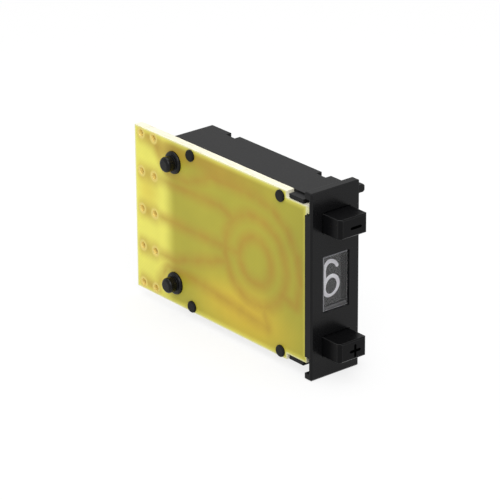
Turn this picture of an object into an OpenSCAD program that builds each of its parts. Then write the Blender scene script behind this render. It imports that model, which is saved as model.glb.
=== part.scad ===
// Push-button thumbwheel switch: one digit of a row, in its moulded case.
// X runs across the width, Y from the front bezel back to the terminals, Z up.
// The origin is the middle of the bezel's back face, where the front of the panel seats.

/* [Front bezel] */
// Width of the bezel, and of the whole unit between its neighbours
bezel_w = 7.6; // [7.4:0.05:8.4]
// Thickness of the bezel plate
bezel_t = 1.2; // [1.1:0.05:1.6]
// Height of the lip that overlaps the panel above and below the case
lip_h = 1.15; // [1:0.05:1.8]
// Radius of the bezel's four corners
bezel_corner_r = 0.25; // [0.1:0.05:0.8]
// Bevel round the front edges of the bezel
bezel_bevel = 0.2; // [0.1:0.05:0.35]
// Sideways distance of the window and the buttons from the middle of the bezel
face_shift = 0.1; // [-0.05:0.05:0.2]

/* [Window] */
// Width of the window in the bezel
window_w = 4.15; // [3.6:0.05:4.4]
// Height of the window in the bezel
window_h = 7.3; // [6:0.1:8.4]
// Width of the lens flange behind the bezel, all round the window
lens_flange = 0.4; // [0.3:0.05:0.5]
// Thickness of the lens flange
lens_flange_t = 0.35; // [0.25:0.05:0.45]
// Depth of the lens front below the bezel front
lens_recess = 0.1; // [0.05:0.05:0.25]
// Bevel round the front of the lens
lens_bevel = 0.2; // [0.1:0.05:0.3]
// Gap between the lens and the bezel
lens_gap = 0.04; // [0.02:0.01:0.06]

/* [Bezel tabs] */
// Length that a tab stands out of the bezel's right edge
tab_l = 1.1; // [0.8:0.05:1.3]
// Height of a tab
tab_h = 1; // [0.7:0.05:1.1]
// Thickness of a tab, measured forward from the bezel's back face
tab_t = 0.75; // [0.5:0.05:0.8]
// Distance of a tab from the top or bottom edge of the bezel
tab_edge = 0.95; // [0.8:0.05:1.2]
// Bevel on the outer corners of a tab
tab_bevel = 0.2; // [0.1:0.05:0.3]
// Play of a neighbour's tab in the pocket on the left edge
tab_gap = 0.1; // [0.05:0.01:0.15]

/* [Case] */
// Height of the case and of the circuit board
case_h = 22; // [21.8:0.1:24]
// Depth of the case behind the bezel
case_depth = 26.8; // [26:0.1:32]
// Thickness of the case walls
wall_t = 1; // [0.9:0.05:1.2]
// Width of the keyways in the right edges of the case
keyway_w = 1.7; // [1.2:0.1:2]
// Depth of the keyways, measured in from the right side
keyway_d = 0.85; // [0.4:0.05:0.9]
// Height of the keyways, measured in from the top or bottom
keyway_h = 0.8; // [0.6:0.05:0.85]

/* [Circuit board] */
// Thickness of the board
board_t = 1.2; // [1:0.05:1.6]
// Distance of the board's outer face from the left edge of the bezel
board_inset = 0.4; // [0.35:0.05:0.6]
// Length of the board that runs out behind the case
board_overhang = 6.6; // [6:0.1:9]
// Gap between the board's front edge and the bezel
board_front_gap = 0.15; // [0.1:0.05:0.3]
// Length of the notches in the board's front corners
notch_l = 3.7; // [3.3:0.1:3.9]
// Height of the notches
notch_d = 0.8; // [0.7:0.05:0.9]
// Radius in the corner of the notches
notch_r = 0.35; // [0.1:0.05:0.4]
// Length of the tongue that reaches into the bezel's pocket
tongue_l = 0.75; // [0.5:0.05:0.8]
// Height of the tongue
tongue_h = 0.9; // [0.7:0.05:1.1]

/* [Terminals] */
// Rows of terminal holes
terminal_rows = 5; // [3:2:5]
// Distance of the outer rows from the top or bottom edge of the board
row_edge = 0.84; // [0.82:0.01:1.2]
// Distance between the two columns
column_pitch = 2.54; // [2.4:0.02:3]
// Distance of the outer column from the back edge of the board
terminal_edge = 1.25; // [1.1:0.05:1.6]
// Radius of a terminal hole
terminal_r = 0.45; // [0.35:0.05:0.5]
// Radius of a terminal pad
pad_r = 0.8; // [0.7:0.05:0.82]

/* [Copper tracks] */
// Thickness of the copper
copper_t = 0.07; // [0.035:0.005:0.1]
// Radius of the common ring's middle
common_r = 3; // [3:0.1:3.6]
// Radius of the code ring's middle
code_r = 5.8; // [5.8:0.05:6.6]
// Radius of the long trace that sweeps round in front of the code ring
sweep_r = 8.4; // [8:0.1:8.6]
// Width of the rings
ring_w = 1; // [0.7:0.05:1.1]
// Width of the traces
trace_w = 0.8; // [0.5:0.05:0.9]
// Space between pieces of copper
trace_gap = 0.45; // [0.3:0.05:0.5]

/* [Stakes and studs] */
// Radius of the stake pins
stake_r = 0.5; // [0.4:0.05:0.55]
// Radius of the formed heads of the stake pins
stake_head_r = 0.76; // [0.7:0.02:0.9]
// Height of the stake heads above the board
stake_head_t = 0.3; // [0.2:0.05:0.4]
// Bevel round the stake heads
stake_head_bevel = 0.12; // [0.05:0.01:0.18]
// Distance of the upper stake pins from the top of the case
stake_edge = 0.95; // [0.85:0.05:1.2]
// Distance of the lower stake pins from the bottom of the case
stake_low_edge = 0.75; // [0.7:0.05:1.2]
// Distance of the front stake pins from the bezel
stake_front = 4.95; // [4.7:0.05:5.2]
// Distance of the back stake pins from the back of the case
stake_back = 4.6; // [4.4:0.1:5.5]
// Radius of the foot that a stake pin grows from
stake_foot_r = 1.1; // [0.9:0.05:1.15]
// Length of that foot inside the case
stake_foot_l = 1.5; // [1:0.1:1.6]
// Radius of a stud's collar on the board
stud_collar_r = 1.48; // [1.3:0.01:1.7]
// Height of the collar
stud_collar_t = 0.4; // [0.35:0.05:0.45]
// Radius of the collar's rounded edge
stud_collar_round = 0.32; // [0.1:0.02:0.34]
// Radius of a stud's knob, which plugs into the next unit
stud_knob_r = 1; // [0.9:0.05:1.05]
// Length of the knob
stud_knob_l = 1.2; // [0.8:0.05:1.2]
// Radius of the knob's rounded end
stud_knob_round = 0.4; // [0.1:0.05:0.5]
// Radius of the shank that holds the stud in the case
stud_shank_r = 0.75; // [0.6:0.05:0.8]
// Length of the shank in the case
stud_shank_l = 1.8; // [1.4:0.1:2]
// Distance of the studs from the back of the case
stud_back = 1.2; // [1.15:0.05:1.4]
// Distance of the studs from the top or bottom of the case
stud_edge = 2.85; // [2.6:0.05:2.9]
// Radial play of a knob in the socket of the next unit
socket_gap = 0.05; // [0.02:0.01:0.1]
// Depth of a socket
socket_d = 1.3; // [1.3:0.1:1.5]
// Least wall left round a socket
socket_wall = 0.15; // [0.1:0.05:0.3]
// Radial clearance of pins and shanks in the board and the case
pin_gap = 0.03; // [0.02:0.01:0.06]

/* [Number wheel] */
// Gap between the wheel and the case above and below it
wheel_gap = 0.5; // [0.4:0.05:0.8]
// Gap between the wheel and the bezel's back face
wheel_set_back = 0.2; // [0.15:0.05:0.5]
// Thickness of the rim that carries the digits
rim_t = 0.9; // [0.7:0.05:1.1]
// Gap between the rim and the circuit board
rim_board_gap = 0.3; // [0.25:0.05:0.5]
// Thickness of the web
web_t = 0.8; // [0.6:0.05:1]
// Radius of the hub
hub_r = 2.6; // [2.4:0.05:2.65]
// Radius of the axle boss on the case
axle_r = 1.5; // [1.2:0.05:1.6]
// Radial running clearance of the wheel on the axle
axle_gap = 0.05; // [0.02:0.01:0.1]
// Distance of the hub's end from the circuit board
hub_board_gap = 1; // [0.9:0.05:1.2]
// Width of the axle's collar, which the star wheel runs against
axle_collar_w = 0.8; // [0.5:0.1:1]

/* [Star wheel] */
// Positions in one turn
positions = 10; // [8:2:12]
// Thickness of the star wheel
star_t = 1; // [0.8:0.05:1.1]
// Gap between the star wheel and the right wall
star_wall_gap = 0.2; // [0.15:0.05:0.3]
// Radius of a lobe
lobe_r = 0.7; // [0.6:0.02:0.76]
// Height of a lobe above the valleys
lobe_rise = 1.1; // [0.9:0.05:1.2]
// Gap between the lobes' tips and the slider rails
star_rail_gap = 0.3; // [0.2:0.05:0.4]
// Radius of the pegs that key the star wheel to the drum
peg_r = 0.5; // [0.3:0.05:0.6]
// Distance of the pegs from the axis
peg_place = 3.6; // [3.4:0.1:4]

/* [Wiper] */
// Thickness of the wiper's sheet
wiper_t = 0.15; // [0.1:0.01:0.2]
// Width of the wiper's fingers
finger_w = 0.7; // [0.5:0.05:0.8]
// Radius of the contact dome at a finger's end
dome_r = 0.3; // [0.25:0.01:0.35]
// Distance of the common finger's root from the axis
finger_root = 1.54; // [1.4:0.02:1.6]
// Gap between a contact dome and the copper
contact_gap = 0.05; // [0.03:0.01:0.08]

/* [Buttons] */
// Width of a button's cap
cap_w = 4.2; // [3.8:0.05:4.3]
// Height of a cap
cap_h = 2.5; // [2.2:0.05:2.6]
// Length that a cap stands out of the bezel
cap_out = 3.1; // [2.6:0.05:3.6]
// Play round a cap in the bezel
cap_gap = 0.1; // [0.06:0.01:0.12]
// Distance of a cap from the inside of the case above or below it
cap_wall_gap = 0.75; // [0.7:0.05:0.8]
// Bevel on the left front edge of a cap
cap_side_bevel = 0.45; // [0.2:0.05:0.6]
// Bevel on the other front edges of a cap
cap_bevel = 0.15; // [0.05:0.05:0.25]
// Travel of a button
press_travel = 2; // [1.6:0.1:2.1]
// Width of the stop flange outside the opening
flange_lap = 0.3; // [0.2:0.05:0.35]
// Gap between the stop flange and the bezel at rest
stop_gap = 0.05; // [0.03:0.01:0.1]
// Gap between a slider and the drum beside it
slider_gap = 0.15; // [0.12:0.01:0.2]
// Gap between a slider and the right wall
slider_wall_gap = 0.1; // [0.05:0.01:0.12]
// Thickness of the rails that guide a slider
rail_t = 0.35; // [0.25:0.05:0.4]
// Play between a slider and its rails
rail_gap = 0.15; // [0.1:0.01:0.18]
// Gap between a button and the wheel
wheel_run_gap = 0.25; // [0.2:0.05:0.3]
// Thickness of the spring seat at the slider's end
seat_t = 1; // [0.8:0.1:1.4]

/* [Springs and pawls] */
// Mean radius of a return spring
coil_r = 0.75; // [0.65:0.05:0.8]
// Radius of the return spring's wire
wire_r = 0.12; // [0.1:0.01:0.14]
// Gap between the wires of the closed end turns
coil_end_gap = 0.012; // [0.01:0.002:0.02]
// Turns of a return spring
coil_turns = 8; // [6:1:9]
// Sideways place of the return springs
coil_x = 0.7; // [0.6:0.05:0.9]
// Radius of the nubs that centre a return spring
nub_r = 0.45; // [0.3:0.05:0.48]
// Length of the nubs
nub_l = 0.8; // [0.5:0.1:1]
// Thickness of a pawl's leaf
pawl_t = 0.3; // [0.2:0.02:0.36]
// Width of a pawl
pawl_w = 0.55; // [0.45:0.05:0.6]
// Radius of a pawl's nose
pawl_nose_r = 0.3; // [0.2:0.02:0.36]
// Gap between a pawl's nose and the lobes' tips at rest
pawl_gap = 0.3; // [0.2:0.05:0.4]
// Angle round the axle at which a pawl's nose waits, from the back
pawl_angle = 130; // [127:1:134]
// Depth of a pawl's root in the slider
pawl_root = 0.7; // [0.5:0.05:1]
// Distance of a pawl's root behind the stop flange
pawl_set = 0.9; // [0.8:0.05:1]
// Thickness of the detent leaf
leaf_t = 0.22; // [0.16:0.02:0.26]
// Width of the detent leaf
leaf_w = 0.6; // [0.5:0.05:0.65]
// Radius of the detent's nose
detent_nose_r = 0.4; // [0.3:0.05:0.5]
// Gap between the detent's nose and the star wheel
detent_gap = 0.1; // [0.05:0.01:0.15]
// Half the size of a post that holds the detent leaf
post_half = 0.7; // [0.6:0.05:0.75]
// Distance of the posts behind the star wheel's tips
post_back = 2.1; // [2:0.05:2.2]
// Play of a leaf in its slot
leaf_gap = 0.03; // [0.02:0.01:0.05]

/* [Hidden] */

// A cut runs this far past the face that it opens
over = 0.5;
// Segments of a round that lies on a bore, pin or rim
fine = 64;

bezel_left = -bezel_w / 2;
bezel_right = bezel_w / 2;
case_top = case_h / 2;
bezel_top = case_top + lip_h;
board_outer = bezel_left + board_inset;
board_inner = board_outer + board_t;
inner_right = bezel_right - wall_t;
inner_top = case_top - wall_t;
inner_back = case_depth - wall_t;
board_back = case_depth + board_overhang;

// Notches, tongue and the pocket behind the bezel's left edge
notch_back = board_front_gap + notch_l;
notch_z = case_top - notch_d;
tongue_low = notch_z - tongue_h;
tab_top = bezel_top - tab_edge;
pocket_top = tab_top + tab_gap;
pocket_low = tongue_low - tab_gap;
pocket_depth = tab_t + tab_gap / 2;
lug_front = tab_t + tab_gap / 2;
lug_back = notch_back - notch_r - tab_gap;

// Places of the stakes, studs and terminals
stake_zs = [stake_low_edge - case_top, case_top - stake_edge];
stake_ys = [stake_front, case_depth - stake_back];
stud_y = case_depth - stud_back;
stud_z = case_top - stud_edge;
socket_r = stud_knob_r + socket_gap;
block_front = stud_y - socket_r - 2 * socket_wall;
block_low = stud_z - socket_r - socket_wall;
column_ys = [board_back - terminal_edge, board_back - terminal_edge - column_pitch];
row_end = (terminal_rows - 1) / 2;
terminal_pitch = (case_h - 2 * row_edge) / (terminal_rows - 1);

// Wheel, star wheel and sliders, from the board to the right wall
wheel_r = inner_top - wheel_gap;
axis_y = wheel_set_back + wheel_r;
drum_left = board_inner + rim_board_gap;
star_right = inner_right - star_wall_gap;
drum_right = star_right - star_t;
hub_left = board_inner + hub_board_gap;
bore_r = axle_r + axle_gap;
slider_left = drum_right + slider_gap;
slider_right = inner_right - slider_wall_gap;
slider_mid = (slider_left + slider_right) / 2;

// Caps and sliders, for the upper button
cap_left = face_shift - cap_w / 2;
cap_right = face_shift + cap_w / 2;
cap_top = inner_top - cap_wall_gap;
cap_low = cap_top - cap_h;
cap_front = -bezel_t - cap_out;
flange_back = axis_y - rim_reach(cap_low) - press_travel - wheel_run_gap;
seat_low = cap_low + wheel_run_gap;
seat_front = axis_y + rim_reach(seat_low) + wheel_run_gap;
seat_back = seat_front + seat_t;
coil_z = (seat_low + cap_top) / 2;
coil_out = coil_r + wire_r;
rail_low = cap_low - rail_gap - rail_t;

// Star wheel, detent leaf and pawls
star_tip_r = rail_low - star_rail_gap;
lobe_place = star_tip_r - lobe_r;
valley_r = star_tip_r - lobe_rise;
nose_y = axis_y + valley_r + detent_gap + detent_nose_r;
shoulder = [axis_y + star_tip_r + leaf_t, lobe_r + leaf_t];
post = [axis_y + star_tip_r + post_back, rail_low - post_half];
pawl_reach = star_tip_r + pawl_gap + pawl_nose_r;
pawl_nose = [axis_y + pawl_reach * cos(pawl_angle), pawl_reach * sin(pawl_angle)];
pawl_foot = [flange_back + pawl_set, cap_low + pawl_root];

// Traces that pass inside the studs, the contact plane, and angles round the axle, from the back: the gaps
// in the code ring, the places where traces leave it, and the lower end of the sweeping trace
bus_z = block_low - trace_gap / 2 - trace_w / 2;
contact_x = board_inner + copper_t + contact_gap;
code_gaps = [0, 90, 228, 290];
upper_leave = 45;
lower_leave = -18;
bottom_leave = -105;
sweep_leave = 210;
sweep_end = 205;

// Half length of the wheel's chord at a height
function rim_reach(z) = sqrt(wheel_r * wheel_r - z * z);
// Point on a circle round the axle, by its angle from the back, in Y and Z
function round_axle(r, a) = [axis_y + r * cos(a), r * sin(a)];
// Direction from one point to another
function ahead(p, q) = (q - p) / norm(q - p);
// Corner of a band at a point of its middle line, where the edges before and after that point meet
function band_corner(points, i, half) =
    let (before = i == 0 ? ahead(points[0], points[1]) : ahead(points[i - 1], points[i]),
        after = i == len(points) - 1 ? before : ahead(points[i], points[i + 1]),
        both = before + after)
        points[i] + half * [-both[1], both[0]] / (1 + before * after);

// Box between two limits on each axis
module span(x, y, z)
    translate([x[0], y[0], z[0]]) cube([x[1] - x[0], y[1] - y[0], z[1] - z[0]]);

// Outline in Y and Z, extruded between two limits on X
module along_x(x)
    translate([x[0], 0, 0]) rotate([90, 0, 90]) linear_extrude(x[1] - x[0]) children();

// Outline in X and Z, extruded between two limits on Y
module along_y(y)
    translate([0, y[1], 0]) rotate([90, 0, 0]) linear_extrude(y[1] - y[0]) children();

// Round bar along X between two limits, at a place in Y and Z
module bar(r, x, at)
    translate([x[0], at[0], at[1]]) rotate([0, 90, 0]) cylinder(r = r, h = x[1] - x[0], $fn = fine);

// The upper piece and its mirror image below
module above_and_below() {
    children();
    mirror([0, 0, 1]) children();
}

// Flat strip with round ends between two points
module strip(p, q, w) {
    run = q - p;
    translate(p) circle(d = w, $fn = fine);
    translate(q) circle(d = w, $fn = fine);
    translate(p) rotate(atan2(run[1], run[0])) translate([0, -w / 2]) square([norm(run), w]);
}

// Row of strips through a list of points
module path(points, w)
    for (i = [0 : len(points) - 2]) strip(points[i], points[i + 1], w);

// Band of one width along a list of points, with mitred bends and square ends
module band(points, w)
    polygon([
        for (i = [0 : len(points) - 1]) band_corner(points, i, -w / 2),
        for (i = [len(points) - 1 : -1 : 0]) band_corner(points, i, w / 2)
    ]);

// Rectangle with round corners, centred
module rounded(w, h, r) {
    square([w - 2 * r, h], center = true);
    square([w, h - 2 * r], center = true);
    for (x = [-1, 1], y = [-1, 1])
        translate([x * (w / 2 - r), y * (h / 2 - r)]) circle(r = r, $fn = fine);
}

// Rectangle of a half width about a middle, with its front corners bevelled, front towards -Y
module bevelled(mid, half, front, back, bevel_low, bevel_high)
    polygon([
        [mid - half, back], [mid - half, front + bevel_low], [mid - half + bevel_low, front],
        [mid + half - bevel_high, front], [mid + half, front + bevel_high], [mid + half, back]
    ]);

// Bezel plate: front outline with round corners, front edges bevelled all round
module bezel_plate()
    intersection() {
        along_y([-bezel_t, 0]) rounded(bezel_w, 2 * bezel_top, bezel_corner_r);
        translate([0, 0, -bezel_top])
            linear_extrude(2 * bezel_top)
                bevelled(0, bezel_right, -bezel_t, 0, bezel_bevel, bezel_bevel);
        along_x([bezel_left, bezel_right])
            rotate(90) mirror([0, 1]) bevelled(0, bezel_top, -bezel_t, 0, bezel_bevel, bezel_bevel);
    }

// Tab on the bezel's right edge, which enters the next unit's pocket
module bezel_tab() {
    end = bezel_right + tab_l;
    low = tab_top - tab_h;
    along_y([-tab_t, 0])
        polygon([
            [bezel_right - wall_t, low], [end - tab_bevel, low], [end, low + tab_bevel],
            [end, tab_top - tab_bevel], [end - tab_bevel, tab_top], [bezel_right - wall_t, tab_top]
        ]);
}

// Walls of the case, open on the board's side
module case_shell()
    difference() {
        span([board_inner, bezel_right], [0, case_depth], [-case_top, case_top]);
        span([board_inner - over, inner_right], [-over, inner_back], [-inner_top, inner_top]);
    }

// Stake pin with its foot in the case and its formed head on the board
module stake(at) {
    intersection() {
        bar(stake_foot_r, [board_inner, board_inner + stake_foot_l], at);
        span([board_inner, inner_right], [0, case_depth], [-case_top, case_top]);
    }
    bar(stake_r, [board_outer - stake_head_t, board_inner + stake_foot_l], at);
    translate([board_outer, at[0], at[1]]) rotate([0, -90, 0]) rotate_extrude($fn = fine)
        polygon([
            [0, 0], [stake_head_r, 0], [stake_head_r, stake_head_t - stake_head_bevel],
            [stake_head_r - stake_head_bevel, stake_head_t], [0, stake_head_t]
        ]);
}

// Solid corner that holds a stud, a socket and the end of a return spring
module corner_block() {
    span([board_inner, inner_right + over], [block_front, inner_back + over], [block_low, inner_top + over]);
    translate([coil_x, block_front + over, coil_z]) rotate([90, 0, 0])
        cylinder(r = nub_r, h = nub_l + over, $fn = fine);
}

// Lug that fills the board's corner notch
module lug()
    span([board_outer + tab_gap / 2, board_inner + over], [lug_front, lug_back],
        [notch_z + tab_gap, case_top - 2 * tab_gap]);

// Rails on the right wall, above and below a slider
module rails() {
    rail_x = [slider_left + rail_gap, inner_right + over];
    span(rail_x, [flange_back + press_travel + wheel_run_gap, seat_front],
        [cap_top + rail_gap, inner_top + over]);
    span(rail_x, [pawl_nose[0] + press_travel + 2 * pawl_nose_r, seat_front - wheel_run_gap],
        [rail_low, rail_low + rail_t]);
}

// Slotted post that holds one end of the detent leaf
module detent_post()
    difference() {
        span([slider_left, inner_right + over], [post[0] - post_half, post[0] + post_half],
            [post[1] - post_half, post[1] + post_half]);
        along_x([slider_left - over, slider_mid + leaf_w / 2 + leaf_gap])
            strip(shoulder, post, leaf_t + 2 * leaf_gap);
    }

// Axle boss and the collar that the star wheel runs against
module axle() {
    bar(axle_r, [hub_left - wiper_t, inner_right + over], [axis_y, 0]);
    bar(axle_r + axle_collar_w, [star_right + axle_gap, inner_right + over], [axis_y, 0]);
}

// Openings in the bezel for the lens and the two caps
module front_cuts() {
    translate([face_shift, 0, 0]) {
        along_y([-bezel_t - over, over]) square([window_w, window_h], center = true);
        along_y([-lens_flange_t - 2 * lens_gap, over])
            square([window_w + 2 * lens_flange, window_h + 2 * lens_flange], center = true);
    }
    above_and_below()
        span([cap_left - cap_gap, cap_right + cap_gap], [-bezel_t - over, over],
            [cap_low - cap_gap, cap_top + cap_gap]);
}

// Pocket for a neighbour's tab, and the keyways on the right edges
module edge_cuts()
    above_and_below() {
        span([bezel_left - over, board_inner + tab_gap / 2], [-pocket_depth, over], [pocket_low, pocket_top]);
        for (y = stake_ys)
            span([bezel_right - keyway_d, bezel_right + over], [y - keyway_w / 2, y + keyway_w / 2],
                [case_top - keyway_h, case_top + over]);
    }

// Sockets on the right, stud holes on the left, and room for the tracks under the back wall
module back_cuts() {
    above_and_below() {
        bar(socket_r, [bezel_right - socket_d, bezel_right + over], [stud_y, stud_z]);
        bar(stud_shank_r + pin_gap, [board_inner - over, board_inner + stud_shank_l + pin_gap],
            [stud_y, stud_z]);
    }
    span([board_inner - over, board_inner + copper_t + contact_gap], [inner_back - over, case_depth + over],
        [-block_low, block_low]);
}

// Case, bezel, axle, pins and lugs: one black moulding
module housing()
    color("#2b2b2d") difference() {
        union() {
            bezel_plate();
            case_shell();
            axle();
            above_and_below() {
                bezel_tab();
                lug();
                corner_block();
                rails();
                detent_post();
            }
            for (y = stake_ys, z = stake_zs) stake([y, z]);
        }
        front_cuts();
        edge_cuts();
        back_cuts();
    }

// Clear window with a bevelled front and a flange behind the bezel
module window_lens() {
    half_w = window_w / 2 - lens_gap;
    half_h = window_h / 2 - lens_gap;
    front = -bezel_t + lens_recess;
    color("#6a6c72", 0.6) translate([face_shift, 0, 0]) union() {
        intersection() {
            translate([0, 0, -half_h])
                linear_extrude(2 * half_h) bevelled(0, half_w, front, -lens_gap, lens_bevel, lens_bevel);
            along_x([-half_w, half_w])
                rotate(90) mirror([0, 1]) bevelled(0, half_h, front, -lens_gap, lens_bevel, lens_bevel);
        }
        along_y([-lens_flange_t - lens_gap, -lens_gap])
            square([2 * (half_w + lens_flange), 2 * (half_h + lens_flange)], center = true);
    }
}

// Outline of the board in Y and Z: notched front corners and a tongue
module board_outline() {
    difference() {
        translate([board_front_gap, -case_top]) square([board_back - board_front_gap, case_h]);
        for (side = [0, 1]) mirror([0, side]) {
            translate([-over, notch_z + notch_r]) square([notch_back + over, case_h]);
            translate([-over, notch_z]) square([notch_back + over - notch_r, case_h]);
            translate([notch_back - notch_r, notch_z + notch_r]) circle(r = notch_r, $fn = fine);
        }
    }
    strip([board_front_gap - tongue_l + tongue_h / 2, tongue_low + tongue_h / 2],
        [board_front_gap + tongue_h, tongue_low + tongue_h / 2], tongue_h);
}

// Middles of the terminal holes
module at_terminals()
    for (y = column_ys, row = [-row_end : row_end]) translate([y, row * terminal_pitch]) children();

module circuit_board()
    color("#d9d35a") along_x([board_outer, board_inner]) difference() {
        board_outline();
        at_terminals() circle(r = terminal_r, $fn = fine);
        for (y = stake_ys, z = stake_zs) translate([y, z]) circle(r = stake_r + pin_gap, $fn = fine);
        for (side = [-1, 1])
            translate([stud_y, side * stud_z]) circle(r = stud_shank_r + pin_gap, $fn = fine);
    }

// Ring of copper round the axle, of a middle radius and a width
module copper_ring(r, w)
    translate([axis_y, 0]) difference() {
        circle(r = r + w / 2, $fn = fine);
        circle(r = r - w / 2, $fn = fine);
    }

// Code ring, cut into one segment for each code terminal
module code_ring()
    difference() {
        copper_ring(code_r, ring_w);
        for (a = code_gaps)
            translate([axis_y, 0]) rotate(a)
                translate([code_r - ring_w, -trace_w / 2 - trace_gap])
                    square([2 * ring_w, trace_w + 2 * trace_gap]);
    }

// Upper front part of a ring, which carries a trace round in front of the code ring
module copper_sweep() {
    low = sweep_r * sin(sweep_end) - trace_w;
    intersection() {
        copper_ring(sweep_r, ring_w);
        translate([axis_y - 2 * sweep_r, low]) square([2 * sweep_r + trace_gap, case_h]);
    }
}

// Trace from the code ring or the common ring to a row of terminals
module copper_trace(row) {
    z = row * terminal_pitch;
    ends = [[column_ys[1], z], [column_ys[0], z]];
    bus_ys = [stud_y - 2 * stud_collar_r, stud_y + stud_collar_r];
    if (row == 0) band([round_axle(common_r, 0), each ends], trace_w);
    if (row == 1) band([round_axle(code_r, upper_leave), [axis_y + code_r + ring_w, z], each ends], trace_w);
    if (row == -1) band([round_axle(code_r, lower_leave), [stud_y, z], each ends], trace_w);
    if (row == 2) {
        band([round_axle(code_r, sweep_leave), round_axle(sweep_r, sweep_end)], trace_w);
        copper_sweep();
        band([
            [axis_y, sweep_r], [axis_y + sweep_r, sweep_r],
            for (y = bus_ys) [y, bus_z], each ends
        ], trace_w);
    }
    if (row == -2)
        band([
            round_axle(code_r, bottom_leave), round_axle(sweep_r, bottom_leave),
            for (y = bus_ys) [y, -bus_z], each ends
        ], trace_w);
}

// Etched copper on the inner face of the board: rings, traces and pads
module contact_tracks()
    color("#b8863b") along_x([board_inner, board_inner + copper_t]) difference() {
        union() {
            copper_ring(common_r, ring_w);
            code_ring();
            for (row = [-row_end : row_end]) copper_trace(row);
            at_terminals() circle(r = pad_r, $fn = fine);
        }
        at_terminals() circle(r = terminal_r, $fn = fine);
    }

// Half outline of a turned disc with a rounded upper edge
module turned(r, h, edge_r) {
    square([r, h - edge_r]);
    square([r - edge_r, h]);
    intersection() {
        square([r, h]);
        translate([r - edge_r, h - edge_r]) circle(r = edge_r, $fn = fine);
    }
}

// Stud turned about X: shank in the board and the case, collar on the board, knob for the next unit
module stud() {
    inside = board_t + stud_shank_l;
    translate([board_outer, stud_y, stud_z]) rotate([0, -90, 0]) rotate_extrude($fn = fine) {
        translate([0, -inside]) square([stud_shank_r, inside]);
        turned(stud_collar_r, stud_collar_t, stud_collar_round);
        turned(stud_knob_r, stud_collar_t + stud_knob_l, stud_knob_round);
    }
}

module coupling_studs()
    color("#1f1f21") above_and_below() stud();

// Drum with the rim for the digits, a web and a hub that runs on the axle
module number_wheel()
    color("#3a3a3d") difference() {
        union() {
            difference() {
                bar(wheel_r, [drum_left, drum_right], [axis_y, 0]);
                bar(wheel_r - rim_t, [drum_left - over, drum_right - web_t], [axis_y, 0]);
            }
            bar(hub_r, [hub_left, drum_right], [axis_y, 0]);
        }
        bar(bore_r, [drum_left - over, drum_right + over], [axis_y, 0]);
        above_and_below()
            bar(peg_r + pin_gap, [drum_right - web_t - over, drum_right + over], [axis_y, peg_place]);
    }

// Lobed wheel keyed to the drum, with a valley for each position
module star_wheel()
    color("#e8e4d8") {
        along_x([drum_right, star_right]) difference() {
            union() {
                translate([axis_y, 0]) circle(r = valley_r, $fn = fine);
                for (i = [0 : positions - 1])
                    translate(round_axle(lobe_place, (i + 0.5) * 360 / positions))
                        circle(r = lobe_r, $fn = fine);
            }
            translate([axis_y, 0]) circle(r = bore_r, $fn = fine);
        }
        above_and_below() bar(peg_r, [drum_right - web_t, drum_right + star_t / 2], [axis_y, peg_place]);
    }

// Finger bent from the hub's end towards the copper, from one distance along it to another
module finger(length, fall) {
    tilt = asin(fall / length);
    rotate([0, -tilt, 0]) translate([0, -finger_w / 2, 0]) cube([wiper_t, finger_w, length]);
}

// Sprung contact: a ring on the hub's end with one finger on each copper ring
module wiper() {
    ring_r = bore_r + wiper_t;
    flat = [hub_left - wiper_t, hub_left];
    fall = hub_left - wiper_t - contact_x - dome_r / 2;
    dome_x = contact_x + dome_r;
    arm_start = hub_r - finger_w;
    color("#c9a24a") translate([0, axis_y, 0]) union() {
        difference() {
            union() {
                bar(hub_r, flat, [0, 0]);
                span(flat, [-finger_root - finger_w / 2, finger_w / 2 - finger_root],
                    [0, common_r + finger_w / 2]);
            }
            bar(ring_r, [flat[0] - over, flat[1] + over], [0, 0]);
        }
        translate([flat[0], 0, -arm_start]) mirror([0, 0, 1]) finger(code_r - arm_start, fall);
        translate([dome_x, 0, -code_r]) sphere(r = dome_r, $fn = fine);
        translate([flat[0], -finger_root, common_r]) rotate([-90, 0, 0]) finger(finger_root + finger_w, fall);
        translate([dome_x, finger_w, common_r]) sphere(r = dome_r, $fn = fine);
    }
}

// Bent leaf: ends in the two posts, nose in a valley of the star wheel
module detent_spring()
    color("#b9bcc0") along_x([slider_mid - leaf_w / 2, slider_mid + leaf_w / 2]) {
        translate([nose_y, 0]) circle(r = detent_nose_r, $fn = fine);
        for (side = [0, 1]) mirror([0, side]) path([[nose_y, 0], shoulder, post], leaf_t);
    }

// Cap, stop flange, slider and spring seat: one moulding, here the upper one
module button() {
    flange_top = cap_top + cap_gap + flange_lap;
    seat_x = [coil_x - coil_out - pin_gap, slider_right];
    union() {
        intersection() {
            translate([0, 0, cap_low])
                linear_extrude(cap_h)
                    bevelled(face_shift, cap_w / 2, cap_front, flange_back, cap_side_bevel, cap_bevel);
            along_x([cap_left, cap_right])
                rotate(90) mirror([0, 1])
                    bevelled(cap_low + cap_h / 2, cap_h / 2, cap_front, flange_back, cap_bevel, cap_bevel);
        }
        span([cap_left, slider_right], [stop_gap, flange_back], [cap_low, flange_top]);
        difference() {
            span([slider_left, slider_right], [stop_gap, seat_back], [cap_low, cap_top]);
            along_x([slider_mid - pawl_w / 2 - leaf_gap, slider_mid + pawl_w / 2 + leaf_gap])
                strip(pawl_foot, pawl_nose, pawl_t + 2 * leaf_gap);
        }
        span(seat_x, [seat_front, seat_back], [seat_low, cap_top]);
        translate([coil_x, seat_back + nub_l, coil_z]) rotate([90, 0, 0])
            cylinder(r = nub_r, h = nub_l + seat_t / 2, $fn = fine);
    }
}

module minus_button() color("#262628") button();
module plus_button() color("#262628") mirror([0, 0, 1]) button();

// Spring leaf rooted in the slider, its nose waiting in front of a lobe
module pawl()
    along_x([slider_mid - pawl_w / 2, slider_mid + pawl_w / 2]) {
        strip(pawl_foot, pawl_nose, pawl_t);
        translate(pawl_nose) circle(r = pawl_nose_r, $fn = fine);
    }

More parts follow.
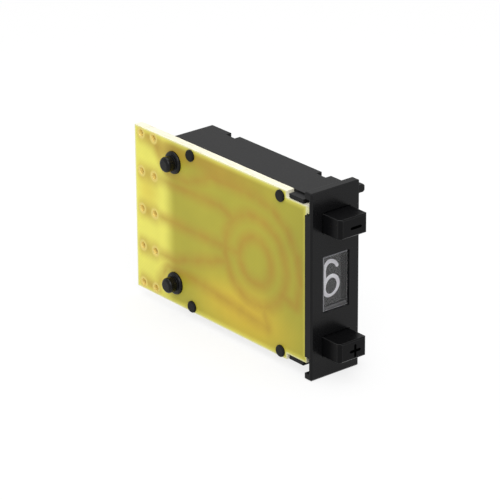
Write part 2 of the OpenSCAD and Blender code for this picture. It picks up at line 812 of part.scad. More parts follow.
module minus_pawl() color("#b9bcc0") pawl();
module plus_pawl() color("#b9bcc0") mirror([0, 0, 1]) pawl();

// Rings and sides of the swept wire
coil_steps = 14;
coil_sides = 6;
// Length of the coil between the seat and the corner block, and the rise of its closed end turns
coil_start = seat_back + wire_r + pin_gap;
coil_length = block_front - seat_back - 2 * wire_r - 2 * pin_gap;
end_rise = 2 * wire_r + coil_end_gap;

// Distance along the coil after a number of turns: one closed turn at each end
function coil_rise(turn) =
    turn < 1 ? turn * end_rise
    : turn > coil_turns - 1 ? coil_length - (coil_turns - turn) * end_rise
    : end_rise + (turn - 1) * (coil_length - 2 * end_rise) / (coil_turns - 2);

// Coil spring along Y, as a six-sided wire carried along a helix
module coil() {
    count = coil_turns * coil_steps;
    points = [
        for (i = [0 : count], k = [0 : coil_sides - 1])
            let (turn = i / coil_steps, a = 360 * turn, b = 360 * k / coil_sides,
                r = coil_r + wire_r * cos(b))
                [coil_x + r * cos(a), coil_start + coil_rise(turn) + wire_r * sin(b), coil_z + r * sin(a)]
    ];
    sides = [
        for (i = [0 : count - 1], k = [0 : coil_sides - 1])
            let (n = (k + 1) % coil_sides, s = i * coil_sides)
                [s + k, s + n, s + coil_sides + n, s + coil_sides + k]
    ];
    first = [for (k = [coil_sides - 1 : -1 : 0]) k];
    last = [for (k = [0 : coil_sides - 1]) count * coil_sides + k];
    polyhedron(points, concat([first], sides, [last]), convexity = 10);
}

module minus_return_spring() color("#c2c5c9") coil();
module plus_return_spring() color("#c2c5c9") mirror([0, 0, 1]) coil();

housing();
window_lens();
circuit_board();
contact_tracks();
coupling_studs();
number_wheel();
star_wheel();
wiper();
detent_spring();
minus_button();
minus_pawl();
minus_return_spring();
plus_button();
plus_pawl();
plus_return_spring();
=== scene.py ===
import math

import bmesh
import bpy
import numpy as np
from mathutils import Matrix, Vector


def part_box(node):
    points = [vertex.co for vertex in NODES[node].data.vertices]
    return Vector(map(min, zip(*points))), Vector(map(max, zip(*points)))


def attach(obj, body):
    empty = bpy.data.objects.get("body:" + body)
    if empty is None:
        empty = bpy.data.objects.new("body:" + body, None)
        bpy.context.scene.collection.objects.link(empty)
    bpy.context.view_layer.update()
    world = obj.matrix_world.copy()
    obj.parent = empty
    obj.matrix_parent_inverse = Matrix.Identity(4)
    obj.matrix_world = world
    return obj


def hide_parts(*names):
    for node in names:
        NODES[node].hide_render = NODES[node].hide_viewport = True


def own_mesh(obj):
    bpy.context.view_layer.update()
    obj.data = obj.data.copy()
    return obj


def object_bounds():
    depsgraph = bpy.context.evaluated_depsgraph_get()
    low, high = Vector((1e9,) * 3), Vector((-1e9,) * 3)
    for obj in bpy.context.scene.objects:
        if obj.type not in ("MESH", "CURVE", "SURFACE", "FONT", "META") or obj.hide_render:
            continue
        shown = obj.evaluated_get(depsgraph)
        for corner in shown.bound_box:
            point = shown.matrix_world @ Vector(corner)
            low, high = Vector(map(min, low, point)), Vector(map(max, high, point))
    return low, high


bl_info = {
    "name": "Push-button thumbwheel switch",
    "version": (1, 0, 0),
    "blender": (4, 5, 0),
    "location": "View3D > Sidebar > Switch",
    "description": "Finishes, dial digits, key signs and studio for one unit of a thumbwheel switch",
    "category": "Object",
}

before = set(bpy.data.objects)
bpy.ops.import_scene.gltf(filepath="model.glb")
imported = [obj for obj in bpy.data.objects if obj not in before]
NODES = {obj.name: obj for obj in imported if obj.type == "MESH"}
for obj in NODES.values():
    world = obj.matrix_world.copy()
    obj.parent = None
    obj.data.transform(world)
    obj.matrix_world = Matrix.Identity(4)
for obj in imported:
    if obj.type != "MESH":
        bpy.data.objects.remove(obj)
CAD_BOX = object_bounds()
MM = 0.001

# Camera of the photograph: place in metres, angles in degrees, focal length and film width in millimetres
CAMERA_PLACE = (-0.22418, -0.25916, 0.14877)
CAMERA_AZIMUTH = -39.2833
CAMERA_ELEVATION = 22.9443
CAMERA_ROLL = -0.3882
CAMERA_LENS = 224.574
FILM_WIDTH = 36.0

# Soft lamps: place and side in metres
KEY_LAMP = ((-0.16, -0.20, 0.26), 0.22)
TOP_LAMP = ((0.03, 0.06, 0.34), 0.30)

# Plan of the circuit board, in millimetres: the axle in Y and Z, the terminal columns in Y, the rows in Z,
# and the place in Y behind which the terminals lie
AXLE = np.array([9.7, 0.0])
COLUMNS = (29.61, 32.15)
ROWS = (-10.16, -5.08, 0.0, 5.08, 10.16)
TERMINALS_FROM = 28.4

# Warmer patches on the board: colour, middle and reach in Y and Z in millimetres, and strength
WARM_PATCHES = (
    ("amber", (12.0, -7.8), (13.3, 6.0), 0.9),
    ("veiled", (18.0, 9.8), (15.0, 2.2), 0.6),
    ("veiled", (27.0, 9.4), (5.5, 2.2), 0.6),
    ("amber", (31.0, 2.6), (3.2, 3.2), 0.5),
)

# Digits round the drum, and the angle past which an edge of a new piece is sharp
DIGITS = 10
CREASE = math.radians(40)


def linear(code):
    """Linear colour of an sRGB hex code: the sRGB curve undone on each channel."""
    srgb = np.array([int(code[i:i + 2], 16) for i in (1, 3, 5)]) / 255
    return tuple(np.where(srgb <= 0.04045, srgb / 12.92, ((srgb + 0.055) / 1.055) ** 2.4).tolist())


def opaque(colour):
    """Colour with an alpha of 1."""
    return (*colour, 1.0)


class DialSettings(bpy.types.PropertyGroup):
    """Sizes of the printed digits and of the signs on the keys."""

    shown: bpy.props.IntProperty(
        name="Digit shown", description="Digit that stands in the window", default=6, min=0, max=9)
    height: bpy.props.FloatProperty(
        name="Digit height", description="Height of a digit on the drum", default=5.0 * MM, unit="LENGTH")
    width: bpy.props.FloatProperty(
        name="Digit width", description="Width of a digit", default=2.7 * MM, unit="LENGTH")
    aside: bpy.props.FloatProperty(
        name="Digit shift", description="Distance of the digits to the right of the window's middle",
        default=0.04 * MM, unit="LENGTH")
    clear_height: bpy.props.FloatProperty(
        name="Clear height", description="Height of the window between its printed masks",
        default=5.8 * MM, unit="LENGTH")
    sill_drop: bpy.props.FloatProperty(
        name="Sill drop", description="Distance of the grey sill's top below the lower mask's top",
        default=0.375 * MM, unit="LENGTH")
    stroke: bpy.props.FloatProperty(
        name="Digit stroke", description="Width of a digit's stroke", default=0.5 * MM, unit="LENGTH")
    film: bpy.props.FloatProperty(
        name="Ink film", description="Height of the printed film", default=0.02 * MM, unit="LENGTH")
    sign_length: bpy.props.FloatProperty(
        name="Sign length", description="Length of a sign's bar between its round ends",
        default=1.35 * MM, unit="LENGTH")
    sign_stroke: bpy.props.FloatProperty(
        name="Sign stroke", description="Width of a sign's bar", default=0.36 * MM, unit="LENGTH")
    key_height: bpy.props.FloatProperty(
        name="Key height", description="Height of the keys' middle above and below the window's",
        default=8.0 * MM, unit="LENGTH")
    sign_aside: bpy.props.FloatProperty(
        name="Sign shift", description="Distance of the signs to the right of the keys' middle",
        default=0.4 * MM, unit="LENGTH")
    sign_below: bpy.props.FloatProperty(
        name="Sign drop", description="Distance of the signs below the keys' middle",
        default=0.15 * MM, unit="LENGTH")


class SpringSettings(bpy.types.PropertyGroup):
    """Sizes of the wire springs behind the keys."""

    turns: bpy.props.IntProperty(
        name="Turns", description="Turns of a return spring, closed end turns included", default=8, min=4)
    wire: bpy.props.FloatProperty(
        name="Wire", description="Diameter of the spring wire", default=0.24 * MM, unit="LENGTH")


class ColourSettings(bpy.types.PropertyGroup):
    """Colours of the finishes, as a user would repaint them."""

    case: bpy.props.FloatVectorProperty(
        name="Case", description="Black of the moulded case", default=linear("#0E0E0F"), subtype="COLOR")
    key: bpy.props.FloatVectorProperty(
        name="Keys", description="Black of the two keys", default=linear("#0C0C0D"), subtype="COLOR")
    stud: bpy.props.FloatVectorProperty(
        name="Studs", description="Black of the coupling studs", default=linear("#0B0B0C"), subtype="COLOR")
    laminate: bpy.props.FloatVectorProperty(
        name="Laminate", description="Yellow of the circuit board where light comes through it",
        default=linear("#F0EA68"), subtype="COLOR")
    # Painted shade: the olive is the laminate where the black case behind it stops the light coming through
    backed_shade: bpy.props.FloatVectorProperty(
        name="Backed laminate", description="Olive of the circuit board where the black case is behind it",
        default=linear("#B4AC38"), subtype="COLOR")
    # Amber: a warmer yellow laid over the laminate in soft oval patches
    amber: bpy.props.FloatVectorProperty(
        name="Amber laminate", description="Warmer yellow of the patches on the circuit board",
        default=linear("#DABC3C"), subtype="COLOR")
    veiled: bpy.props.FloatVectorProperty(
        name="Veiled copper", description="Brown of the copper seen through the circuit board",
        default=linear("#B48A2E"), subtype="COLOR")
    pad: bpy.props.FloatVectorProperty(
        name="Pads", description="Paler yellow round the terminal holes",
        default=linear("#E4D070"), subtype="COLOR")
    # Drilled walls: the cut laminate's pale colour with painted light, as if lit through the board
    drilled_glow: bpy.props.FloatVectorProperty(
        name="Drilled walls", description="Yellow inside the terminal holes",
        default=linear("#F8E28A"), subtype="COLOR")
    rim: bpy.props.FloatVectorProperty(
        name="Lit rim", description="Pale line along the board's rim, where its cut edge lights it",
        default=linear("#F0F0C4"), subtype="COLOR")
    sawn_edge: bpy.props.FloatVectorProperty(
        name="Sawn edge", description="Cream of the board's cut edges",
        default=linear("#FAF5DC"), subtype="COLOR")
    copper: bpy.props.FloatVectorProperty(
        name="Copper", description="Colour of the etched copper", default=linear("#C98A48"), subtype="COLOR")
    dial: bpy.props.FloatVectorProperty(
        name="Dial", description="Dark of the number wheel and window mask",
        default=linear("#101011"), subtype="COLOR")
    ink: bpy.props.FloatVectorProperty(
        name="Ink", description="White of the printed digits", default=linear("#F6F4FA"), subtype="COLOR")
    sill: bpy.props.FloatVectorProperty(
        name="Sill", description="Grey of the window's sill", default=linear("#707072"), subtype="COLOR")
    # Signs: painted shade, a black film for the dark inside the keys' engraved grooves
    sign: bpy.props.FloatVectorProperty(
        name="Signs", description="Black of the keys' signs", default=linear("#020202"), subtype="COLOR")
    # Window bevels and foot: painted reflection, grey on the upper and side bevels and paler on the lower one
    bevel: bpy.props.FloatVectorProperty(
        name="Window bevels", description="Grey of the window's upper and side bevels",
        default=linear("#8C8C90"), subtype="COLOR")
    lower_bevel: bpy.props.FloatVectorProperty(
        name="Window foot", description="Pale grey of the window's lower bevel",
        default=linear("#DCDCE0"), subtype="COLOR")
    acetal: bpy.props.FloatVectorProperty(
        name="Star wheel", description="Natural white of the star wheel",
        default=linear("#E6E2D6"), subtype="COLOR")
    bronze: bpy.props.FloatVectorProperty(
        name="Wiper", description="Colour of the wiper's bronze", default=linear("#C89A4E"), subtype="COLOR")
    strip: bpy.props.FloatVectorProperty(
        name="Spring strip", description="Grey of the pawls and detent",
        default=linear("#B9BCC1"), subtype="COLOR")
    wire: bpy.props.FloatVectorProperty(
        name="Spring wire", description="Grey of the return springs",
        default=linear("#C2C5C9"), subtype="COLOR")


class StageSettings(bpy.types.PropertyGroup):
    """Level of the studio light."""

    sky: bpy.props.FloatProperty(
        name="Soft light", description="Strength of the even light from all round", default=0.55)
    key: bpy.props.FloatProperty(
        name="Key lamp", description="Power of the soft lamp above and in front", default=0.7, unit="POWER")
    top: bpy.props.FloatProperty(
        name="Top lamp", description="Power of the soft lamp overhead", default=0.6, unit="POWER")


def add(tree, kind, links=None, **settings):
    """Adds a node, sets its settings, and links or sets its inputs."""
    node = tree.nodes.new(kind)
    for name, value in settings.items():
        setattr(node, name, value)
    for socket, value in (links or {}).items():
        if isinstance(value, bpy.types.NodeSocket):
            tree.links.new(value, node.inputs[socket])
        else:
            node.inputs[socket].default_value = value
    return node


def new_finish(name):
    """Empty material with its node tree."""
    material = bpy.data.materials.new(name)
    material.use_nodes = True
    material.node_tree.nodes.clear()
    return material, material.node_tree


def per_metre(size_mm):
    """Noise scale at which one cell has this size."""
    return 1 / (size_mm * MM)


def moulded_plastic(name, colour, grain_mm, edge_mm, roughness, specular, edge_highlight, smoother=0.0):
    """Injection-moulded plastic: fine spark-eroded grain, slow colour drift and a painted highlight on the
    edges.

    The grain is noise with cells of grain_mm, drawn a little coarser than real so that it shows. The edge
    mask is a painted highlight: it grows from 0 to its given strength as the cosine between the face's normal
    and the normal rounded over edge_mm falls from 1 to 0.8. What lies within 0.1 mm of the bezel's front
    comes from a better polished face of the mould, and is smoother by the last value.
    """
    drift_mm, drift_share, rough_spread, grain_height = 6.0, 0.14, 0.08, 0.02 * MM
    pale_gain, pale_lift = 2.6, 0.05
    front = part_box("housing")[0].y
    material, tree = new_finish(name)
    place = add(tree, "ShaderNodeTexCoord").outputs["Object"]
    grain = add(tree, "ShaderNodeTexNoise", {"Vector": place, "Scale": per_metre(grain_mm), "Detail": 3.0})
    drift = add(tree, "ShaderNodeTexNoise", {"Vector": place, "Scale": per_metre(drift_mm), "Detail": 2.0})
    rounded = add(tree, "ShaderNodeBevel", {"Radius": edge_mm * MM}, samples=8)
    flat = add(tree, "ShaderNodeNewGeometry")
    cosine = add(tree, "ShaderNodeVectorMath",
                 {0: rounded.outputs["Normal"], 1: flat.outputs["Normal"]}, operation="DOT_PRODUCT")
    edge = add(tree, "ShaderNodeMapRange",
               {"Value": cosine.outputs["Value"], "From Min": 1.0, "From Max": 0.8, "To Max": edge_highlight})
    dark, light = (tuple(c * level for c in colour) for level in (1 - drift_share, 1 + drift_share))
    tint = add(tree, "ShaderNodeMix",
               {"Factor": drift.outputs["Fac"], "A": opaque(dark), "B": opaque(light)}, data_type="RGBA")
    # Painted highlight: a paler copy of the colour, mixed in by the edge mask, for light caught on the
    # rounded edges
    pale = tuple(min(1.0, c * pale_gain + pale_lift) for c in colour)
    highlighted = add(tree, "ShaderNodeMix",
               {"Factor": edge.outputs["Result"], "A": tint.outputs["Result"], "B": opaque(pale)},
               data_type="RGBA")
    rough = add(tree, "ShaderNodeMapRange",
                {"Value": grain.outputs["Fac"], "To Min": roughness - rough_spread,
                 "To Max": roughness + rough_spread})
    along = add(tree, "ShaderNodeSeparateXYZ", {"Vector": place}).outputs["Y"]
    polish = add(tree, "ShaderNodeMapRange",
                 {"Value": along, "From Min": front + 0.1 * MM, "From Max": front + 0.05 * MM,
                  "To Max": smoother})
    smooth = add(tree, "ShaderNodeMath",
                 {0: rough.outputs["Result"], 1: polish.outputs["Result"]}, operation="SUBTRACT")
    bump = add(tree, "ShaderNodeBump",
               {"Strength": 0.25, "Distance": grain_height, "Height": grain.outputs["Fac"],
                "Normal": rounded.outputs["Normal"]})
    shader = add(tree, "ShaderNodeBsdfPrincipled",
                 {"Base Color": highlighted.outputs["Result"], "Roughness": smooth.outputs[0], "IOR": 1.5,
                  "Specular IOR Level": specular, "Normal": bump.outputs["Normal"]})
    add(tree, "ShaderNodeOutputMaterial", {"Surface": shader.outputs["BSDF"]})
    return material


def copper_layout():
    """Plan of the etched copper, in Y and Z in millimetres, as groups of one half width each: rings as a
    middle and a radius, and bars as pairs of points. It repeats the copper on the board's inner face."""
    code, common, sweep = 5.8, 3.0, 8.4
    ring_half, trace_half, pad_half = 0.5, 0.4, 0.8
    bus, bus_rise, stud, bend = (22.64, 27.08), 6.325, 25.6, 16.5
    first = COLUMNS[0]

    def round_axle(radius, *angles):
        turn = np.radians(angles)
        return AXLE + radius * np.column_stack([np.cos(turn), np.sin(turn)])

    paths = [
        np.vstack([round_axle(code, 210), round_axle(sweep, 205, 182, 159, 136, 113, 90),
                   [[AXLE[0] + sweep, sweep], [bus[0], bus_rise], [bus[1], bus_rise], [first, ROWS[4]]]]),
        np.vstack([round_axle(code, 45), [[bend, ROWS[3]], [first, ROWS[3]]]]),
        np.vstack([round_axle(common, 0), [[first, ROWS[2]]]]),
        np.vstack([round_axle(code, -18), [[stud, ROWS[1]], [first, ROWS[1]]]]),
        np.vstack([round_axle(code, -105), round_axle(sweep, -105),
                   [[bus[0], -bus_rise], [bus[1], -bus_rise], [first, ROWS[0]]]]),
    ]
    traces = [(start, stop) for path in paths for start, stop in zip(path, path[1:])]
    pads = [((first, row), (COLUMNS[1], row)) for row in ROWS]
    return [(ring_half, [(AXLE, code), (AXLE, common)], []), (trace_half, [], traces), (pad_half, [], pads)]


def nearest(tree, distances):
    """Distance to several shapes together: the least of the distances to each."""
    least = distances[0]
    for distance in distances[1:]:
        least = add(tree, "ShaderNodeMath", {0: least, 1: distance}, operation="MINIMUM").outputs[0]
    return least


def from_ring(tree, plane, middle, radius):
    """Distance to a ring's middle line: the difference between the distance to its middle and its radius."""
    reach = add(tree, "ShaderNodeVectorMath", {0: plane, 1: (0, *(middle * MM))}, operation="DISTANCE")
    off = add(tree, "ShaderNodeMath", {0: reach.outputs["Value"], 1: radius * MM}, operation="SUBTRACT")
    return add(tree, "ShaderNodeMath", {0: off.outputs[0]}, operation="ABSOLUTE").outputs[0]


def from_bar(tree, plane, start, stop):
    """Distance to a bar's middle line: that to the foot of the perpendicular, held between the bar's ends."""
    first = np.array([0, *start]) * MM
    run = np.array([0, *stop]) * MM - first
    aside = add(tree, "ShaderNodeVectorMath", {0: plane, 1: first}, operation="SUBTRACT").outputs["Vector"]
    share = add(tree, "ShaderNodeVectorMath", {0: aside, 1: run / (run @ run)}, operation="DOT_PRODUCT")
    held = add(tree, "ShaderNodeClamp", {"Value": share.outputs["Value"]})
    foot = add(tree, "ShaderNodeVectorMath", {0: run, "Scale": held.outputs["Result"]}, operation="SCALE")
    return add(tree, "ShaderNodeVectorMath",
               {0: aside, 1: foot.outputs["Vector"]}, operation="DISTANCE").outputs["Value"]


def nearest_copper(tree, place):
    """Distance to the nearest edge of the copper, in metres, in the board's plane and below zero on the
    copper: the least distance to a middle line, less the half width."""
    plane = add(tree, "ShaderNodeVectorMath",
                {0: place, 1: (0, 1, 1)}, operation="MULTIPLY").outputs["Vector"]
    edges = []
    for half, rings, bars in copper_layout():
        lines = [from_ring(tree, plane, middle, radius) for middle, radius in rings]
        lines += [from_bar(tree, plane, start, stop) for start, stop in bars]
        edge = add(tree, "ShaderNodeMath", {0: nearest(tree, lines), 1: half * MM}, operation="SUBTRACT")
        edges.append(edge.outputs[0])
    return nearest(tree, edges)


def from_terminal(tree, axes):
    """Distance to the nearest terminal hole, in metres: half the pitch of the columns and of the rows folds
    the place back and forth, and the length of the folded place is taken."""
    half_column, half_row = (COLUMNS[1] - COLUMNS[0]) / 2 * MM, (ROWS[1] - ROWS[0]) / 2 * MM
    along = add(tree, "ShaderNodeMath", {0: axes.outputs["Y"], 1: COLUMNS[0] * MM}, operation="SUBTRACT")
    column = add(tree, "ShaderNodeMath", {0: along.outputs[0], 1: half_column}, operation="PINGPONG")
    row = add(tree, "ShaderNodeMath", {0: axes.outputs["Z"], 1: half_row}, operation="PINGPONG")
    folded = add(tree, "ShaderNodeCombineXYZ", {"X": column.outputs[0], "Y": row.outputs[0]})
    return add(tree, "ShaderNodeVectorMath",
               {0: folded.outputs["Vector"]}, operation="LENGTH").outputs["Value"]


def near_terminal(tree, axes, reach_mm):
    """1 within a distance of a terminal hole, on the part of the board that stands free, and 0 elsewhere,
    with a soft step between."""
    soft_mm = 0.15
    close = add(tree, "ShaderNodeMapRange",
                {"Value": from_terminal(tree, axes), "From Min": (reach_mm + soft_mm) * MM,
                 "From Max": (reach_mm - soft_mm) * MM}, interpolation_type="SMOOTHSTEP")
    behind = add(tree, "ShaderNodeMath",
                 {0: axes.outputs["Y"], 1: TERMINALS_FROM * MM}, operation="GREATER_THAN")
    return add(tree, "ShaderNodeMath",
               {0: close.outputs["Result"], 1: behind.outputs[0]}, operation="MULTIPLY").outputs[0]


def from_rim(tree, axes):
    """Distance to the board's nearest edge, in metres, and below zero on its tongues: the least of those to
    the back, front and long edges and to the corner notches. To a notch it is the length of how far Y and the
    height lie past its corner, where neither counts below zero."""
    low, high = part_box("circuit_board")
    tongue, notch_length, notch_depth = 0.75 * MM, 3.7 * MM, 0.8 * MM
    front = low.y + tongue
    along = axes.outputs["Y"]
    height = add(tree, "ShaderNodeMath", {0: axes.outputs["Z"]}, operation="ABSOLUTE").outputs[0]
    differences = ((high.y, along), (along, front), (high.z, height),
                   (along, front + notch_length), (high.z - notch_depth, height))
    *margins, past_end, past_floor = [
        add(tree, "ShaderNodeMath", {0: more, 1: less}, operation="SUBTRACT").outputs[0]
        for more, less in differences]
    past = add(tree, "ShaderNodeCombineXYZ", {"X": past_end, "Y": past_floor})
    outside = add(tree, "ShaderNodeVectorMath",
                  {0: past.outputs["Vector"], 1: (0, 0, 0)}, operation="MAXIMUM")
    notch = add(tree, "ShaderNodeVectorMath", {0: outside.outputs["Vector"]}, operation="LENGTH")
    return nearest(tree, [*margins, notch.outputs["Value"]])


def warm_patch(tree, place, under, colour, middle, reach, share):
    """Oval patch of a colour over another, in the board's plane: the distance from its middle, with each axis
    divided by its reach, falls smoothly from the patch's share to nothing at its rim."""
    offset = add(tree, "ShaderNodeVectorMath",
                 {0: place, 1: (0, middle[0] * MM, middle[1] * MM)}, operation="SUBTRACT")
    scaled = add(tree, "ShaderNodeVectorMath",
                 {0: offset.outputs["Vector"], 1: (0, per_metre(reach[0]), per_metre(reach[1]))},
                 operation="MULTIPLY")
    spread = add(tree, "ShaderNodeVectorMath", {0: scaled.outputs["Vector"]}, operation="LENGTH")
    factor = add(tree, "ShaderNodeMapRange",
                 {"Value": spread.outputs["Value"], "From Min": 1.0, "From Max": 0.08, "To Max": share},
                 interpolation_type="SMOOTHSTEP")
    return add(tree, "ShaderNodeMix", {"Factor": factor.outputs["Result"], "A": under, "B": opaque(colour)},
               data_type="RGBA").outputs["Result"]


def board_ground(tree, place, axes, colours):
    """Colour of the bare laminate: lemon where it stands free behind the case and, over the black case, a
    painted olive shade where the case stops the light that would come through, passing smoothly from one
    to the other across the case's back edge, with warmer patches on top."""
    case_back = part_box("housing")[1].y
    before, after = 1.6 * MM, 1.2 * MM
    # Painted shade: olive over the case, lemon where light comes through the free part of the board
    free = add(tree, "ShaderNodeMapRange",
               {"Value": axes.outputs["Y"], "From Min": case_back - before, "From Max": case_back + after},
               interpolation_type="SMOOTHSTEP")
    colour = add(tree, "ShaderNodeMix",
                 {"Factor": free.outputs["Result"], "A": opaque(colours.backed_shade),
                  "B": opaque(colours.laminate)}, data_type="RGBA").outputs["Result"]
    for patch_colour, middle, reach, share in WARM_PATCHES:
        colour = warm_patch(tree, place, colour, getattr(colours, patch_colour), middle, reach, share)
    return colour


def copper_veil(tree, place, outside):
    """How strongly the copper shows through the board's outer face: a smooth fall from well inside the
    copper's edge to a little outside it, which is the blur that 1.2 mm of laminate gives, thinner in
    streaks."""
    beyond, within, most = 1.3 * MM, -0.8 * MM, 0.75
    streak_mm, thinnest = 2.0, 0.65
    near = add(tree, "ShaderNodeMapRange",
               {"Value": nearest_copper(tree, place), "From Min": beyond, "From Max": within, "To Max": most},
               interpolation_type="SMOOTHSTEP")
    shown = add(tree, "ShaderNodeMath", {0: near.outputs["Result"], 1: outside}, operation="MULTIPLY")
    streak = add(tree, "ShaderNodeTexNoise", {"Vector": place, "Scale": per_metre(streak_mm), "Detail": 2.0})
    patch = add(tree, "ShaderNodeMapRange",
                {"Value": streak.outputs["Fac"], "From Min": 0.3, "From Max": 0.65, "To Min": thinnest})
    return add(tree, "ShaderNodeMath",
               {0: shown.outputs[0], 1: patch.outputs["Result"]}, operation="MULTIPLY").outputs[0]


def lit_rim(tree, axes, under, colours):
    """Colour with a rim lit through the cut edges: a soft band of the free laminate's yellow and a thin pale
    line, each falling smoothly from its share at the edge to nothing at its width."""
    inward = from_rim(tree, axes)
    colour = under
    for tint, width_mm, share in ((colours.laminate, 0.9, 0.7), (colours.rim, 0.3, 0.75)):
        factor = add(tree, "ShaderNodeMapRange",
                     {"Value": inward, "From Min": width_mm * MM, "From Max": 0.0, "To Max": share},
                     interpolation_type="SMOOTHSTEP")
        colour = add(tree, "ShaderNodeMix",
                     {"Factor": factor.outputs["Result"], "A": colour, "B": opaque(tint)},
                     data_type="RGBA").outputs["Result"]
    return colour


def woven_cloth(tree, axes):
    """Height of the glass cloth, from -1 to 1: the product of two sine waves, a thread pitch long, along the
    board's length and height."""
    pitch_mm = 0.5
    waves = []
    for axis in ("Y", "Z"):
        phase = add(tree, "ShaderNodeMath",
                    {0: axes.outputs[axis], 1: 2 * math.pi * per_metre(pitch_mm)}, operation="MULTIPLY")
        waves.append(add(tree, "ShaderNodeMath", {0: phase.outputs[0]}, operation="SINE").outputs[0])
    return add(tree, "ShaderNodeMath", {0: waves[0], 1: waves[1]}, operation="MULTIPLY").outputs[0]


def board_shade(tree, place, axes, cloth):
    """Brightness of the laminate: the product of the cloth's faint pattern, a slow cloudiness and a fall
    towards the bezel, where less light comes through."""
    cloud_mm, shade_length, deepest_shade = 5.0, 9.0 * MM, 0.84
    cloud = add(tree, "ShaderNodeTexNoise", {"Vector": place, "Scale": per_metre(cloud_mm), "Detail": 3.0})
    threads = add(tree, "ShaderNodeMapRange", {"Value": cloth, "From Min": -1.0, "To Min": 0.96})
    cloudy = add(tree, "ShaderNodeMapRange", {"Value": cloud.outputs["Fac"], "To Min": 0.88, "To Max": 1.12})
    # Painted shade: the laminate darkens towards the bezel, where less light comes through
    dull = add(tree, "ShaderNodeMapRange",
               {"Value": axes.outputs["Y"], "From Max": shade_length, "To Min": deepest_shade})
    uneven = add(tree, "ShaderNodeMath",
                 {0: cloudy.outputs["Result"], 1: dull.outputs["Result"]}, operation="MULTIPLY")
    return add(tree, "ShaderNodeMath",
               {0: threads.outputs["Result"], 1: uneven.outputs[0]}, operation="MULTIPLY").outputs[0]


def sawn_laminate(tree, place, axes, colours):
    """Colour of the cut edges: cream with darker plies, noise that is thin through the board and long along
    it, and inside the terminal holes a yellow with painted light, as if lit through the laminate."""
    ply_mm, chip_mm, darkest, hole_reach = 0.16, 1.4, 0.78, 0.7
    layers = add(tree, "ShaderNodeVectorMath",
                 {0: place, 1: (per_metre(ply_mm), per_metre(chip_mm), per_metre(chip_mm))},
                 operation="MULTIPLY")
    plies = add(tree, "ShaderNodeTexNoise", {"Vector": layers.outputs["Vector"], "Scale": 1.0, "Detail": 2.0})
    chipped = add(tree, "ShaderNodeMapRange",
                  {"Value": plies.outputs["Fac"], "From Min": 0.35, "From Max": 0.6, "To Min": darkest})
    cut = add(tree, "ShaderNodeMix",
              {"Factor": 1.0, "A": opaque(colours.sawn_edge), "B": chipped.outputs["Result"]},
              data_type="RGBA", blend_type="MULTIPLY")
    return add(tree, "ShaderNodeMix",
               {"Factor": near_terminal(tree, axes, hole_reach), "A": cut.outputs["Result"],
                "B": opaque(colours.drilled_glow)}, data_type="RGBA").outputs["Result"]


def glass_epoxy(colours):
    """Yellow glass-epoxy laminate: lemon where it stands free and a painted olive shade where the black case
    is behind it, with the copper on its inner face showing through as soft brown lines, a rim lit through its
    edges, a faint woven glass cloth and sawn edges that scatter nearly white.

    The edge mask is where the face's normal doesn't look along the board's thickness, and the outer face is
    where it looks to the left.
    """
    pad_reach, cloth_height = 0.75, 0.01 * MM
    material, tree = new_finish("Glass epoxy laminate, yellow")
    place = add(tree, "ShaderNodeTexCoord").outputs["Object"]
    axes = add(tree, "ShaderNodeSeparateXYZ", {"Vector": place})
    normal = add(tree, "ShaderNodeNewGeometry").outputs["Normal"]
    across = add(tree, "ShaderNodeSeparateXYZ", {"Vector": normal}).outputs["X"]
    facing = add(tree, "ShaderNodeMath", {0: across}, operation="ABSOLUTE")
    sawn = add(tree, "ShaderNodeMapRange", {"Value": facing.outputs[0], "From Min": 0.6, "From Max": 0.4})
    outside = add(tree, "ShaderNodeMath", {0: across, 1: -0.5}, operation="LESS_THAN")
    lined = add(tree, "ShaderNodeMix",
                {"Factor": copper_veil(tree, place, outside.outputs[0]),
                 "A": board_ground(tree, place, axes, colours), "B": opaque(colours.veiled)},
                data_type="RGBA")
    cloth = woven_cloth(tree, axes)
    woven = add(tree, "ShaderNodeMix",
                {"Factor": 1.0, "A": lit_rim(tree, axes, lined.outputs["Result"], colours),
                 "B": board_shade(tree, place, axes, cloth)}, data_type="RGBA", blend_type="MULTIPLY")
    ringed = add(tree, "ShaderNodeMix",
                 {"Factor": near_terminal(tree, axes, pad_reach), "A": woven.outputs["Result"],
                  "B": opaque(colours.pad)}, data_type="RGBA")
    colour = add(tree, "ShaderNodeMix",
                 {"Factor": sawn.outputs["Result"], "A": ringed.outputs["Result"],
                  "B": sawn_laminate(tree, place, axes, colours)}, data_type="RGBA")
    bump = add(tree, "ShaderNodeBump", {"Strength": 0.15, "Distance": cloth_height, "Height": cloth})
    shader = add(tree, "ShaderNodeBsdfPrincipled",
                 {"Base Color": colour.outputs["Result"], "Roughness": 0.45, "IOR": 1.5,
                  "Transmission Weight": 0.06, "Specular IOR Level": 0.2, "Normal": bump.outputs["Normal"]})
    add(tree, "ShaderNodeOutputMaterial", {"Surface": shader.outputs["BSDF"]})
    return material


